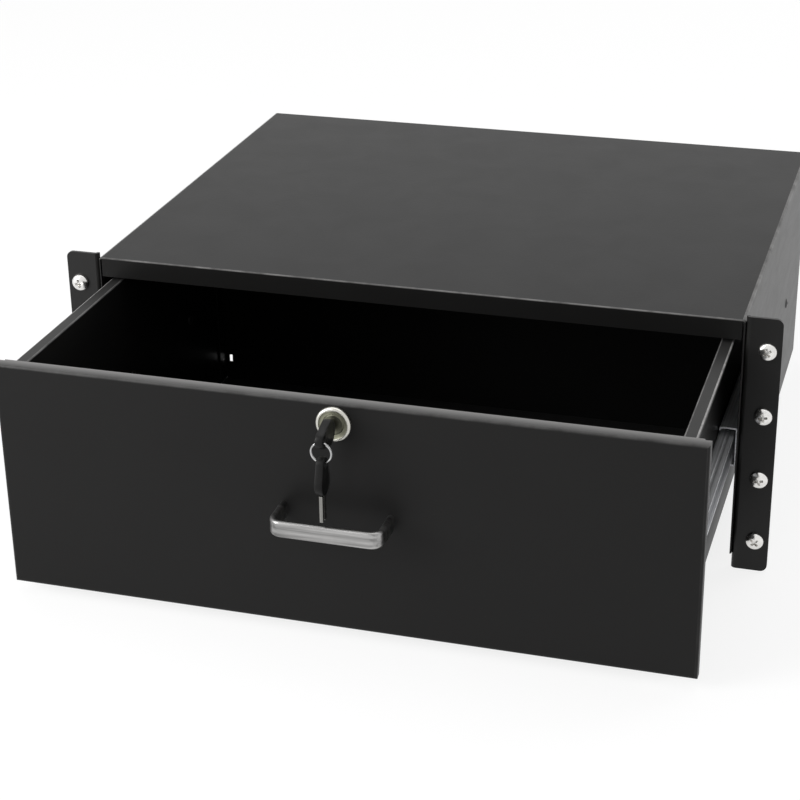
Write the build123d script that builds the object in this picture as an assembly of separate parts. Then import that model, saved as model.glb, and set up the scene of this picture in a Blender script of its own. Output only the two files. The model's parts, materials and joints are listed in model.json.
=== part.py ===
from build123d import *
import math
import os

os.makedirs("parts", exist_ok=True)

# A lockable storage drawer for a 19 inch rack, in millimetres.
# X runs to the right seen from the front, Y into the rack, Z up.
# The origin is the centre of the rack screw pattern, on the rear face of the ears.
# The drawer is drawn partly open, by rest_opening.

# Rack pattern and ears
rack_unit_height = 44.45
rack_units = 4
ear_height = 177.0
ear_span = 482.6
ear_sheet = 2.0
ear_bend = 1.2
ear_corner_share = 0.19
ear_leg_depth = 32.0
ear_leg_height = 150.0
screw_pitch = 465.1
rack_hole_width = 6.8
rack_hole_length = 10.0

# Casing
sheet = 1.2
bend = 1.0
casing_width = 436.0
casing_depth = 350.0
casing_top = 86.0
casing_bottom = -78.5
front_edge_drop = 13.4
front_edge_return = 6.5
rear_edge_drop = 13.4

# Slides
slide_length = 300.0
slide_height = 27.0
slide_width = 12.7
slide_middle_height = -3.5
slide_front_setback = 4.0
slide_travel_share = 0.75
member_sheet = 1.2
member_bend = 0.5
ball_diameter = 4.0
ball_play = 0.05
race_lip = 1.3
web_gap = 1.0
drawer_side_gap = 0.9
cage_tip_gap = 0.35
stop_depth = 3.0
stop_gap = 1.0
cage_sheet = 0.5
cage_flange = 0.8
cage_end_margin = 2.0
balls_per_row = 5
pocket_play = 0.1

# Drawer
rest_opening = 145.0
drawer_length = 330.0
tray_fit = 0.4
rim_flange = 7.0
rim_lip = 3.2
front_tab = 14.0
front_tab_inset = 10.0
back_tab = 12.0
back_slot_width = 2.6
back_slot_height = 6.0
back_slot_inset = 5.0
back_slot_rise = 16.0

# Front panel
panel_sheet = 1.5
panel_bend = 0.3
panel_width = 440.0
panel_top = 71.9
panel_bottom = -80.5
panel_top_return = 9.0
panel_return_side_gap = 1.0
panel_side_return = 7.5
panel_closing_gap = 0.6
panel_stud_diameter = 4.0
panel_stud_length = 9.0
nut_width = 7.0
nut_height = 3.2

# Handle
handle_height = -2.5
handle_span = 71.5
handle_reach = 26.0
handle_strip_height = 11.0
handle_strip_thickness = 4.0
handle_bend = 4.5
handle_screw_diameter = 3.0
handle_screw_length = 9.0

# Lock and keys
lock_height = 59.0
bezel_diameter = 22.0
bezel_thickness = 3.2
lock_body_diameter = 18.6
lock_body_length = 14.6
lock_hole_play = 0.2
plug_diameter = 13.0
plug_play = 0.06
plug_recess = 0.8
lock_nut_across = 22.0
lock_nut_thickness = 2.6
cam_gap = 1.6
cam_thickness = 2.0
cam_width = 14.0
cam_reach = 23.4
cam_tip_width = 9.0
cam_screw_diameter = 4.0
cam_screw_length = 4.0
cam_square = 7.0
cam_screw_head = 9.0
key_blade_thickness = 2.0
key_blade_height = 7.0
key_blade_length = 17.0
keyway_play = 0.12
keyway_end_gap = 0.5
key_shank_gap = 2.0
key_head_thickness = 5.0
key_head_length = 24.0
key_head_half_width = 8.0
key_tip_radius = 4.75
key_head_chamfer = 0.7
key_hole_radius = 2.75
ring_wire = 1.4
ring_centre_radius = 6.3
ring_play = 0.1

# Fasteners
rack_screw_diameter = 6.0
rack_screw_head = 12.0
rack_screw_head_height = 3.6
rack_screw_length = 16.0
rack_screw_neck = 5.0
recess_width = 1.5
recess_length = 6.4
recess_depth = 2.0
bracket_screw_diameter = 4.0
bracket_screw_head = 7.6
bracket_screw_head_height = 2.2
rivet_diameter = 4.0
rivet_head = 7.4
rivet_head_height = 1.2
rivet_taper = 25

# Places that follow from the sizes above
half_outer = casing_width / 2
ear_flange = ear_span / 2 - half_outer
half_inner = half_outer - sheet
half_drawer = half_inner - slide_width
casing_front = -ear_sheet
casing_back = casing_front + casing_depth
closed_face = casing_front - panel_closing_gap - panel_side_return
panel_face = closed_face - rest_opening
panel_rear = panel_face + panel_sheet
drawer_rim = panel_top - panel_sheet - tray_fit
drawer_floor = panel_bottom + panel_sheet + tray_fit
drawer_front = panel_rear
drawer_rear = drawer_front + drawer_length
slide_travel = slide_travel_share * slide_length
slide_front = casing_front + slide_front_setback
drawer_member_front = slide_front - rest_opening
drawer_member_length = slide_length - member_sheet - stop_gap
cage_length = drawer_member_length - slide_travel - 2 * cage_end_margin
cage_front = slide_front + cage_end_margin + slide_travel / 2 - rest_opening / 2
bezel_face = panel_face - bezel_thickness
plug_face = bezel_face + plug_recess
cam_front = panel_face + casing_front + front_edge_return - closed_face + cam_gap
cam_back = cam_front + cam_thickness
key_head_base = bezel_face - key_shank_gap
rack_hole_rows = [rack_unit_height * (row - (rack_units - 1) / 2) for row in range(rack_units)]


def save(name, solids):
    """Write one sub-part; several separate solids stay separate."""
    if not isinstance(solids, list):
        solids = [solids]
    bodies = [body for solid in solids for body in solid.solids()]
    for body in bodies:
        assert body.is_valid, name
    shape = Compound(children=bodies) if len(bodies) > 1 else bodies[0]
    export_step(shape, f"parts/{name}.step")
    print(name, len(bodies), round(sum(body.volume for body in bodies), 1))


def placed(shape, x=0.0, y=0.0, z=0.0):
    return Pos(x, y, z) * shape


def mirrored(shape):
    return mirror(shape, about=Plane.YZ)


def folded(points, thickness, radius, side):
    """Section of folded sheet: the points run along one face, the other lies at the given side."""
    line = FilletPolyline(*points, radius=radius)
    return make_face(offset(line, thickness, side=side, kind=Kind.INTERSECTION, closed=True).edges())


def along_y(section, start, length):
    """Extrude a section drawn in X and Z from the given Y towards the rear."""
    plane = Plane(origin=(0, start, 0), x_dir=(1, 0, 0), z_dir=(0, -1, 0))
    return extrude(plane * section, -length)


def rod_y(diameter, start, length, x=0.0, z=0.0):
    """Cylinder along Y that starts at the given Y."""
    plane = Plane(origin=(x, start, z), z_dir=(0, 1, 0))
    return extrude(plane * Circle(diameter / 2), length)


def rod_x(diameter, start, length, y=0.0, z=0.0):
    """Cylinder along X that starts at the given X."""
    plane = Plane(origin=(start, y, z), z_dir=(1, 0, 0))
    return extrude(plane * Circle(diameter / 2), length)


def box(x0, x1, y0, y1, z0, z1):
    """Box between three pairs of limits."""
    centre = Pos((x0 + x1) / 2, (y0 + y1) / 2, (z0 + z1) / 2)
    return centre * Box(abs(x1 - x0), abs(y1 - y0), abs(z1 - z0))


def edges_at(shape, axis, value):
    """Edges whose middle lies at the given place along an axis."""
    return shape.edges().filter_by_position(axis, value - 0.01, value + 0.01)


def pan_screw(diameter, head, head_height, length, recess=True):
    """Pan head screw with a cross recess, seated at Z = 0 with its shank along -Z."""
    dome = head / 2 - 0.45 * head_height
    outline = Polyline((0, -length), (diameter / 2, -length), (diameter / 2, 0), (head / 2, 0))
    bulge = (head / 2 - 0.12 * head_height, 0.62 * head_height)
    side = ThreePointArc((head / 2, 0), bulge, (dome, head_height))
    close = Polyline((dome, head_height), (0, head_height), (0, -length))
    profile = make_face((outline + side + close).edges())
    screw = revolve(Plane.XZ * profile, Axis.Z)
    if recess:
        arm = Pos(0, 0, head_height - recess_depth / 2) * Box(recess_length, recess_width, recess_depth)
        screw = screw - arm - Rot(0, 0, 90) * arm
    return screw


def rivet(grip):
    """Rivet seated at Z = 0, its tapered head above and its shank along -Z, flush at the far side."""
    head = extrude(Circle(rivet_head / 2), rivet_head_height, taper=rivet_taper)
    return head + Pos(0, 0, -grip) * extrude(Circle(rivet_diameter / 2), grip)


def wall_hole(side, inner_face, diameter, y, z):
    """Cutter for a hole through the sheet of the left (-1) or right (1) wall."""
    return rod_x(diameter, side * (inner_face - 1), side * (sheet + 2), y, z)


def both_sides(solids):
    """The given right-hand solids and their mirror images."""
    return solids + [mirrored(one) for one in solids]


# Casing and ears

def casing_shell():
    """Top and two walls folded from one sheet, with bent front and rear edges."""
    wall = [
        (-half_outer, casing_bottom),
        (-half_outer, casing_top),
        (half_outer, casing_top),
        (half_outer, casing_bottom),
    ]
    shell = along_y(folded(wall, sheet, bend + sheet, Side.RIGHT), casing_front, casing_depth)
    wide = half_inner - bend
    under = casing_top - sheet
    low = casing_top - front_edge_drop
    front = box(-wide, wide, casing_front, casing_front + sheet, low, under)
    lip = box(-wide, wide, casing_front, casing_front + front_edge_return, low, low + sheet)
    rear = box(-wide, wide, casing_back - sheet, casing_back, casing_top - rear_edge_drop, under)
    shell = shell + front + lip + rear
    for side in (-1, 1):
        for y, z in bracket_screw_places():
            shell = shell - wall_hole(side, half_inner, bracket_screw_diameter, y, z)
        for y in slide_rivet_places(slide_front):
            shell = shell - wall_hole(side, half_inner, rivet_diameter, y, slide_middle_height)
    front_edges = edges_at(shell, Axis.Y, casing_front).filter_by(Axis.X)
    longest = front_edges.sort_by(Axis.Z)[-1]
    return fillet(longest, bend)


def bracket_screw_places():
    y = ear_leg_depth * 0.62
    return [(y, ear_leg_height * share) for share in (-0.42, -0.14, 0.14, 0.42)]


def slide_rivet_places(front):
    return [front + slide_length * share for share in (0.15, 0.5, 0.85)]


def ear_bracket():
    """Right ear: a flange in front of the rack post and a leg on the casing wall."""
    corner = ear_bend + ear_sheet
    line = [(half_outer, ear_leg_depth), (half_outer, casing_front), (ear_span / 2, casing_front)]
    section = folded(line, ear_sheet, corner, Side.LEFT)
    bracket = extrude(Pos(0, 0, -ear_height / 2) * section, ear_height)
    leg_outer = half_outer + ear_sheet
    for side in (-1, 1):
        low = side * ear_leg_height / 2
        high = side * (ear_height / 2 + 1)
        bend_end = casing_front + corner
        bracket = bracket - box(half_outer - 1, leg_outer + 1, bend_end, ear_leg_depth + 1, low, high)
    outer = bracket.edges().filter_by(Axis.Y).sort_by(Axis.X)[-2:]
    bracket = fillet(outer, ear_corner_share * ear_flange)
    plane = Plane(origin=(0, casing_front - 1, 0), x_dir=(1, 0, 0), z_dir=(0, -1, 0))
    for z in rack_hole_rows:
        slot = Pos(screw_pitch / 2, z) * SlotOverall(rack_hole_length, rack_hole_width)
        bracket = bracket - extrude(plane * slot, -ear_sheet - 2)
    for y, z in bracket_screw_places():
        bracket = bracket - rod_x(bracket_screw_diameter, half_outer - 1, ear_sheet + 2, y, z)
    return bracket


def rack_screws():
    """Eight screws, heads on the front of the ears, shanks standing out behind them."""
    screw = pan_screw(rack_screw_diameter, rack_screw_head, rack_screw_head_height, rack_screw_length)
    groove = Circle(rack_screw_diameter) - Circle(rack_screw_neck / 2)
    screw = screw - extrude(groove, -ear_sheet)
    screw = Rot(90, 0, 0) * Rot(0, 0, 45) * screw
    sides = (-screw_pitch / 2, screw_pitch / 2)
    return [placed(screw, x, casing_front, z) for x in sides for z in rack_hole_rows]


def bracket_screws():
    """Screws through each ear's leg into the casing wall."""
    grip = ear_sheet + sheet
    screw = pan_screw(bracket_screw_diameter, bracket_screw_head, bracket_screw_head_height, grip, False)
    screw = Rot(0, 90, 0) * screw
    return both_sides([placed(screw, half_outer + ear_sheet, y, z) for y, z in bracket_screw_places()])


def outer_member_rivets():
    """Rivets with heads on the outside of the casing walls, flush inside the slide."""
    turned = Rot(0, 90, 0) * rivet(sheet + member_sheet)
    places = slide_rivet_places(slide_front)
    return both_sides([placed(turned, half_outer, y, slide_middle_height) for y in places])


# Slides: sections are drawn with U from the casing wall to the drawer and V up

ball_room = ball_diameter + 2 * ball_play
outer_race = slide_height / 2 - member_sheet
inner_outside = outer_race - ball_room
outer_tip = slide_width - drawer_side_gap
inner_tip = member_sheet + web_gap
ball_u = (inner_tip + outer_tip - member_sheet) / 2
ball_v = outer_race - ball_room / 2


def member_side(section, front, length):
    """Right-hand member: turn a section in U and V to X and Z, and extrude it along Y."""
    turned = Pos(half_inner, slide_middle_height) * mirror(section, about=Plane.YZ)
    return along_y(turned, front, length)


def riveted(member, web_start, front):
    """Holes in a member's web for its rivets."""
    for y in slide_rivet_places(front):
        start = half_inner - web_start - member_sheet - 0.5
        member = member - rod_x(rivet_diameter, start, member_sheet + 1, y, slide_middle_height)
    return member


def slide_outer_member():
    """Channel on the casing wall: a web, two lips and their turned ends that keep the balls in.

    A tab at its rear end stops the inner member.
    """
    tip = outer_tip
    half = slide_height / 2
    turn = half - member_sheet - race_lip
    points = [(tip, turn), (tip, half), (0, half), (0, -half), (tip, -half), (tip, -turn)]
    section = folded(points, member_sheet, member_sheet + member_bend, Side.LEFT)
    member = member_side(section, slide_front, slide_length)
    web_face = half_inner - member_sheet
    rear = slide_front + slide_length
    low = slide_middle_height - inner_outside
    high = slide_middle_height + inner_outside
    stop = box(web_face - stop_depth, web_face, rear - member_sheet, rear, low, high)
    return riveted(member + stop, 0, slide_front)


def slide_inner_member():
    """Channel on the drawer wall, open towards the outer member."""
    half = inner_outside
    points = [(inner_tip, half), (slide_width, half), (slide_width, -half), (inner_tip, -half)]
    section = folded(points, member_sheet, member_sheet + member_bend, Side.RIGHT)
    member = member_side(section, drawer_member_front, drawer_member_length)
    return riveted(member, slide_width - member_sheet, drawer_member_front)


def ball_cage():
    """Thin channel between the two members, with a row of pockets in each flange."""
    web = member_sheet + (web_gap - cage_sheet) / 2
    tip = outer_tip - member_sheet - cage_tip_gap
    half = ball_v + cage_flange / 2
    strip = Pos((web + tip) / 2, 0) * Rectangle(tip - web, 2 * half)
    hollow = Pos((web + tip) / 2 + cage_sheet, 0) * Rectangle(tip - web, 2 * (half - cage_flange))
    cage = member_side(strip - hollow, cage_front, cage_length)
    for x, y, z in ball_places():
        pocket = Pos(x, y, z) * Cylinder(ball_diameter / 2 + pocket_play, cage_flange + 1)
        cage = cage - pocket
    return cage


def ball_places():
    pitch = cage_length / balls_per_row
    ys = [cage_front + pitch * (index + 0.5) for index in range(balls_per_row)]
    return [(half_inner - ball_u, y, slide_middle_height + v) for v in (-ball_v, ball_v) for y in ys]


def balls():
    """Loose balls, one in each pocket of the cage."""
    return [placed(Sphere(ball_diameter / 2), *place) for place in ball_places()]


# Drawer

def drawer_tray():
    """Floor and two walls folded from one sheet, with outward rims and tabs for the panel."""
    rim = half_drawer + rim_flange
    points = [
        (-rim, drawer_rim - rim_lip),
        (-rim, drawer_rim),
        (-half_drawer + sheet, drawer_rim),
        (-half_drawer + sheet, drawer_floor + sheet),
        (half_drawer - sheet, drawer_floor + sheet),
        (half_drawer - sheet, drawer_rim),
        (rim, drawer_rim),
        (rim, drawer_rim - rim_lip),
    ]
    tray = along_y(folded(points, sheet, bend, Side.RIGHT), drawer_front, drawer_length)
    inside = half_drawer - sheet
    low = drawer_floor + front_tab_inset
    high = drawer_rim - front_tab_inset
    for side in (-1, 1):
        edge = side * inside
        tray = tray + box(edge - side * front_tab, edge, drawer_front, drawer_front + sheet, low, high)
        for y in slide_rivet_places(drawer_member_front):
            tray = tray - wall_hole(side, inside, rivet_diameter, y, slide_middle_height)
        for z in back_rivet_heights():
            tray = tray - wall_hole(side, inside, rivet_diameter, back_rivet_y, z)
    for x, z in panel_stud_places():
        tray = tray - rod_y(panel_stud_diameter + 0.4, drawer_front - 1, sheet + 2, x, z)
    return tray


back_rivet_y = drawer_rear - sheet - back_tab / 2


def back_rivet_heights():
    return [drawer_floor + (drawer_rim - drawer_floor) * share for share in (0.12, 0.8)]


def drawer_back():
    """Rear wall between the drawer walls, with side tabs, a top edge and two small slots."""
    half = half_drawer - sheet
    top = drawer_rim
    floor = drawer_floor + sheet + bend
    plate = box(-half, half, drawer_rear - sheet, drawer_rear, floor, top)
    foot = box(-half + bend, half - bend, drawer_rear - sheet, drawer_rear, floor - bend, floor)
    plate = plate + foot
    edge = box(-half, half, drawer_rear - back_tab, drawer_rear, top - sheet, top)
    back = plate + edge
    tab_front = drawer_rear - sheet - back_tab
    for side in (-1, 1):
        back = back + box(side * (half - sheet), side * half, tab_front, drawer_rear, floor, top)
        x = side * (half - back_slot_inset)
        z = floor + back_slot_rise
        slot = Pos(x, drawer_rear, z) * Box(back_slot_width, 4 * sheet, back_slot_height)
        back = back - slot
        for height in back_rivet_heights():
            back = back - wall_hole(side, half - sheet, rivet_diameter, back_rivet_y, height)
    return back


def back_rivets():
    """Rivets through the drawer walls and the rear wall's tabs, heads outside."""
    turned = Rot(0, 90, 0) * rivet(2 * sheet)
    return both_sides([placed(turned, half_drawer, back_rivet_y, z) for z in back_rivet_heights()])


def inner_member_rivets():
    """Rivets with heads inside the drawer, flush in the slide's inner member."""
    turned = Rot(0, -90, 0) * rivet(sheet + member_sheet)
    places = slide_rivet_places(drawer_member_front)
    return both_sides([placed(turned, half_drawer - sheet, y, slide_middle_height) for y in places])


# Front panel

def panel_stud_places():
    x = half_drawer - sheet - front_tab / 2
    inset = front_tab_inset + nut_width
    heights = (drawer_floor + inset, drawer_rim - inset)
    return [(side * x, z) for side in (-1, 1) for z in heights]


def front_panel():
    """Panel folded on all four edges, the top return the deepest."""
    half = panel_width / 2
    outline = Pos(0, (panel_top + panel_bottom) / 2) * Rectangle(panel_width, panel_top - panel_bottom)
    plane = Plane(origin=(0, panel_face, 0), x_dir=(1, 0, 0), z_dir=(0, -1, 0))
    panel = extrude(plane * outline, -panel_side_return)
    rim = edges_at(panel, Axis.Y, panel_face)
    panel = fillet(rim, panel_sheet + panel_bend)
    wide = half - panel_sheet
    low = panel_bottom + panel_sheet
    high = panel_top - panel_sheet
    panel = panel - box(-wide, wide, panel_rear, panel_face + panel_side_return + 1, low, high)
    rim_inside = edges_at(panel, Axis.Y, panel_rear)
    panel = fillet(rim_inside, panel_bend)
    deep = half_inner - panel_return_side_gap
    top_rear = panel_face + panel_top_return
    panel = panel + box(-deep, deep, panel_rear + panel_bend, top_rear, high, panel_top)
    lock_hole = lock_body_diameter + 2 * lock_hole_play
    panel = panel - rod_y(lock_hole, panel_face - 1, panel_sheet + 2, 0, lock_height)
    screw_hole = handle_screw_diameter + 2 * lock_hole_play
    for x in handle_foot_places():
        panel = panel - rod_y(screw_hole, panel_face - 1, panel_sheet + 2, x, handle_height)
    return panel


def panel_studs():
    """Weld studs on the rear of the panel."""
    return [rod_y(panel_stud_diameter, panel_rear, panel_stud_length, x, z) for x, z in panel_stud_places()]


def panel_nuts():
    """Nuts on the studs, behind the drawer's front tabs."""
    blank = extrude(RegularPolygon(nut_width / 2, 6, major_radius=False), nut_height)
    nut = blank - extrude(Circle(panel_stud_diameter / 2), nut_height)
    nut = Rot(-90, 0, 0) * nut
    return [placed(nut, x, drawer_front + sheet, z) for x, z in panel_stud_places()]


# Handle

def handle_foot_places():
    x = (handle_span - handle_strip_thickness) / 2
    return (-x, x)


def handle_pull():
    """Round-edged strip bent to a bow, its two legs end on the panel."""
    half = (handle_span - handle_strip_thickness) / 2
    front = panel_face - handle_reach + handle_strip_thickness / 2
    points = [(-half, panel_face), (-half, front), (half, front), (half, panel_face)]
    line = FilletPolyline(*points, radius=handle_bend + handle_strip_thickness / 2)
    section = Plane.XZ * SlotOverall(handle_strip_height, handle_strip_thickness, 90)
    bow = sweep(Pos(-half, panel_face) * section, line)
    bow = Pos(0, 0, handle_height) * bow
    for x in handle_foot_places():
        depth = handle_screw_length - panel_sheet
        bow = bow - rod_y(handle_screw_diameter, panel_face - depth, depth + 1, x, handle_height)
    return bow


def handle_screws():
    """Screws from behind the panel into the handle's legs."""
    screw = pan_screw(handle_screw_diameter, 2 * handle_screw_diameter, 2.0, handle_screw_length, False)
    screw = Rot(-90, 0, 0) * screw
    return [placed(screw, x, panel_rear, handle_height) for x in handle_foot_places()]


# Lock and keys

def lock_body():
    """Housing with a domed round bezel, bored for the plug."""
    bezel = rod_y(bezel_diameter, bezel_face, bezel_thickness, 0, lock_height)
    rim = edges_at(bezel, Axis.Y, bezel_face)
    bezel = fillet(rim, 1.6)
    barrel = rod_y(lock_body_diameter, panel_face, lock_body_length, 0, lock_height)
    bore_length = bezel_thickness + lock_body_length + 2
    bore = rod_y(plug_diameter + 2 * plug_play, bezel_face - 1, bore_length, 0, lock_height)
    return bezel + barrel - bore


def lock_nut():
    """Flat hexagon nut that clamps the housing behind the panel."""
    blank = extrude(RegularPolygon(lock_nut_across / 2, 6, major_radius=False), lock_nut_thickness)
    nut = blank - extrude(Circle(lock_body_diameter / 2), lock_nut_thickness)
    return placed(Rot(-90, 0, 0) * nut, 0, panel_rear, lock_height)


def lock_plug():
    """Turning plug with the keyway in front and a square end for the cam."""
    rear = cam_front
    plug = rod_y(plug_diameter, plug_face, rear - plug_face, 0, lock_height)
    half = cam_square / 2
    end = box(-half, half, rear, cam_back, lock_height - half, lock_height + half)
    plug = plug + end
    across = key_blade_thickness / 2 + keyway_play
    up = key_blade_height / 2 + keyway_play
    keyway_end = key_head_base + key_blade_length + keyway_end_gap
    keyway = box(-across, across, plug_face - 1, keyway_end, lock_height - up, lock_height + up)
    front = edges_at(plug, Axis.Y, plug_face)
    plug = chamfer(front, 0.5)
    bore_start = cam_back - cam_screw_length
    screw_bore = rod_y(cam_screw_diameter, bore_start, cam_screw_length + 1, 0, lock_height)
    return plug - keyway - screw_bore


def lock_cam():
    """Flat cam, at rest level and to the left; a quarter turn points it up."""
    reach = cam_reach - cam_tip_width / 2
    hub = Circle(cam_width / 2)
    tip = Pos(-reach, 0) * Circle(cam_tip_width / 2)
    outline = make_hull((hub + tip).edges()) - Rectangle(cam_square, cam_square)
    plane = Plane(origin=(0, cam_front, lock_height), x_dir=(1, 0, 0), z_dir=(0, -1, 0))
    return extrude(plane * outline, -cam_thickness)


def cam_screw():
    """Screw that holds the cam on the plug."""
    height = bracket_screw_head_height
    screw = pan_screw(cam_screw_diameter, cam_screw_head, height, cam_screw_length, False)
    return placed(Rot(-90, 0, 0) * screw, 0, cam_back, lock_height)


def key_outline():
    """Flat outline of a key's head: shoulder at 0, ring end towards +Y."""
    wide = Pos(0, key_head_half_width) * Circle(key_head_half_width)
    tip = Pos(0, key_head_length - key_tip_radius) * Circle(key_tip_radius)
    return make_hull((wide + tip).edges())


def key_head():
    """Moulded head, its ring end along +Z, centred on the Z axis and flat across X."""
    plane = Plane(origin=(-key_head_thickness / 2, 0, 0), x_dir=(0, 1, 0), z_dir=(1, 0, 0))
    head = extrude(plane * key_outline(), key_head_thickness)
    for face_x in (-key_head_thickness / 2, key_head_thickness / 2):
        head = chamfer(edges_at(head, Axis.X, face_x), key_head_chamfer)
    hole_z = key_head_length - key_tip_radius
    return head - rod_x(2 * key_hole_radius, -key_head_thickness, 2 * key_head_thickness, 0, hole_z)


def key_blade():
    """Notched blade below the head."""
    half = key_blade_height / 2
    blade = box(-key_blade_thickness / 2, key_blade_thickness / 2, -half, half, -key_blade_length, 0)
    cuts = 4
    pitch = (key_blade_length - key_shank_gap - 3) / cuts
    for index in range(cuts):
        z = -key_blade_length + 2.5 + pitch * (index + 0.5)
        depth = (1.5, 0.9, 1.8, 1.2)[index]
        notch = Pos(0, half, z) * Rot(45, 0, 0) * Box(key_blade_thickness + 1, depth * 1.4, depth * 1.4)
        blade = blade - notch
    return blade


ring_top = (lock_height - key_hole_radius + ring_wire / 2 + ring_play
            + ring_centre_radius - ring_wire / 2
            - math.sqrt((ring_centre_radius - ring_wire / 2) ** 2 - (key_head_thickness / 2) ** 2))
ring_y = key_head_base - key_head_length + key_tip_radius
ring_middle = ring_top - ring_centre_radius
spare_hole = ring_middle - ring_centre_radius + (ring_top - lock_height)
spare_shoulder = spare_hole - key_head_length + key_tip_radius


def in_lock(shape):
    """Turn a key from along Z to along the lock, its head in front."""
    return placed(Rot(90, 0, 0) * shape, 0, key_head_base, lock_height)


def hanging(shape):
    """Hang a key from the bottom of the ring."""
    return placed(shape, 0, ring_y, spare_shoulder)


def key_ring():
    """Wire ring through the holes of both keys."""
    plane = Plane(origin=(0, ring_y, ring_middle), x_dir=(1, 0, 0), z_dir=(0, 1, 0))
    return plane.location * Torus(ring_centre_radius, ring_wire / 2)


save("casing_shell", casing_shell())
save("ear_bracket_right", ear_bracket())
save("ear_bracket_left", mirrored(ear_bracket()))
save("rack_screws", rack_screws())
save("bracket_screws", bracket_screws())
save("outer_member_rivets", outer_member_rivets())
members = {
    "slide_outer_member": [slide_outer_member()],
    "slide_inner_member": [slide_inner_member()],
    "ball_cage": [ball_cage()],
    "balls": balls(),
}
for name, solids in members.items():
    save(name + "_right", solids)
    save(name + "_left", [mirrored(solid) for solid in solids])
save("drawer_tray", drawer_tray())
save("drawer_back", drawer_back())
save("back_rivets", back_rivets())
save("inner_member_rivets", inner_member_rivets())
save("front_panel", front_panel())
save("panel_studs", panel_studs())
save("panel_nuts", panel_nuts())
save("handle_pull", handle_pull())
save("handle_screws", handle_screws())
save("lock_body", lock_body())
save("lock_nut", lock_nut())
save("lock_plug", lock_plug())
save("lock_cam", lock_cam())
save("cam_screw", cam_screw())
save("key_head", in_lock(key_head()))
save("key_blade", in_lock(key_blade()))
save("key_ring", key_ring())
save("spare_key_head", hanging(key_head()))
save("spare_key_blade", hanging(key_blade()))
print("ring y, top and middle", round(ring_y, 3), round(ring_top, 3), round(ring_middle, 3))
print("panel face", panel_face, "drawer rear", drawer_rear, "travel", slide_travel)
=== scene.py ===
import json
import math
import bmesh
import bpy
from mathutils import Matrix, Vector


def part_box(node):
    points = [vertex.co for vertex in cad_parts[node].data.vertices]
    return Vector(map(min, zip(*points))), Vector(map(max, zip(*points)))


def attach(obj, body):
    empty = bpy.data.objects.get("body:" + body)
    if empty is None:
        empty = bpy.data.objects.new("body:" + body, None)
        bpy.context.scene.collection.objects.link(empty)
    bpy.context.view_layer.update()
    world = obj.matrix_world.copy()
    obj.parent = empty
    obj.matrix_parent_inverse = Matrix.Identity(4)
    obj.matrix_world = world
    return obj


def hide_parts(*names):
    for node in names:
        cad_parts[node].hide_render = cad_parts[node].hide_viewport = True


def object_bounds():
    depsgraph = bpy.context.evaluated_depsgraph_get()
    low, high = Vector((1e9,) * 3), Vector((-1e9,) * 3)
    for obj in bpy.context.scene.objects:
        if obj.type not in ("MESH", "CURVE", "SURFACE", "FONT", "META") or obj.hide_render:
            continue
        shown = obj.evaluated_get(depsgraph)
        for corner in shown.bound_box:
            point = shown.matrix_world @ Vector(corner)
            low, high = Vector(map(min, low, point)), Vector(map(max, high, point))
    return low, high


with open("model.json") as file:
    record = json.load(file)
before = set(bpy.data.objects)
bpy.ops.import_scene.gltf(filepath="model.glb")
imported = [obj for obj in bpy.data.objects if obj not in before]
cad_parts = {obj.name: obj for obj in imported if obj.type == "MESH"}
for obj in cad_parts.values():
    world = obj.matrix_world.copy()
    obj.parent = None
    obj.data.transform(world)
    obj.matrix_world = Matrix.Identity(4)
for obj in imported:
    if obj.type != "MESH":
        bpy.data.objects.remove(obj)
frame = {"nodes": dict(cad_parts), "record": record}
cadBox = [list(corner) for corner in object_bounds()]
nodes = frame["nodes"]
bodies = frame["record"]["behaviour"]["bodies"]
bodyOf = {node: body for body, members in bodies.items() for node in members}
slotOf = {part["node"]: part["material_slot"] for part in frame["record"]["subparts"]}
mm = 0.001
toFront = Matrix.Rotation(math.pi / 2, 4, "X")  # turns what is made along Z towards the front
print("frame loaded:", len(nodes), "nodes")


def corners(node):
    return [Vector(corner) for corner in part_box(node)]


# camera at the photograph's viewing angle
cameraSet = {"lens": 89.87, "sensor": 36, "place": (0.3463, -1.1548, 0.5598),
             "yaw": 17.007, "pitch": 24.707, "roll": -0.827, "near": 0.05, "far": 50}


def makeCamera(s):
    yaw, pitch, roll = (math.radians(s[key]) for key in ("yaw", "pitch", "roll"))
    ahead = Vector((-math.sin(yaw) * math.cos(pitch), math.cos(yaw) * math.cos(pitch), -math.sin(pitch)))
    level = Vector((math.cos(yaw), math.sin(yaw), 0))
    above = level.cross(ahead)
    across = level * math.cos(roll) + above * math.sin(roll)
    up = above * math.cos(roll) - level * math.sin(roll)
    data = bpy.data.cameras.new("camera")
    data.lens, data.sensor_width = s["lens"], s["sensor"]
    data.clip_start, data.clip_end = s["near"], s["far"]
    camera = bpy.data.objects.new("camera", data)
    turn = Matrix((across, up, -ahead)).transposed().to_4x4()
    camera.matrix_world = Matrix.Translation(s["place"]) @ turn
    bpy.context.scene.collection.objects.link(camera)
    bpy.context.scene.camera = camera


makeCamera(cameraSet)


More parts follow.
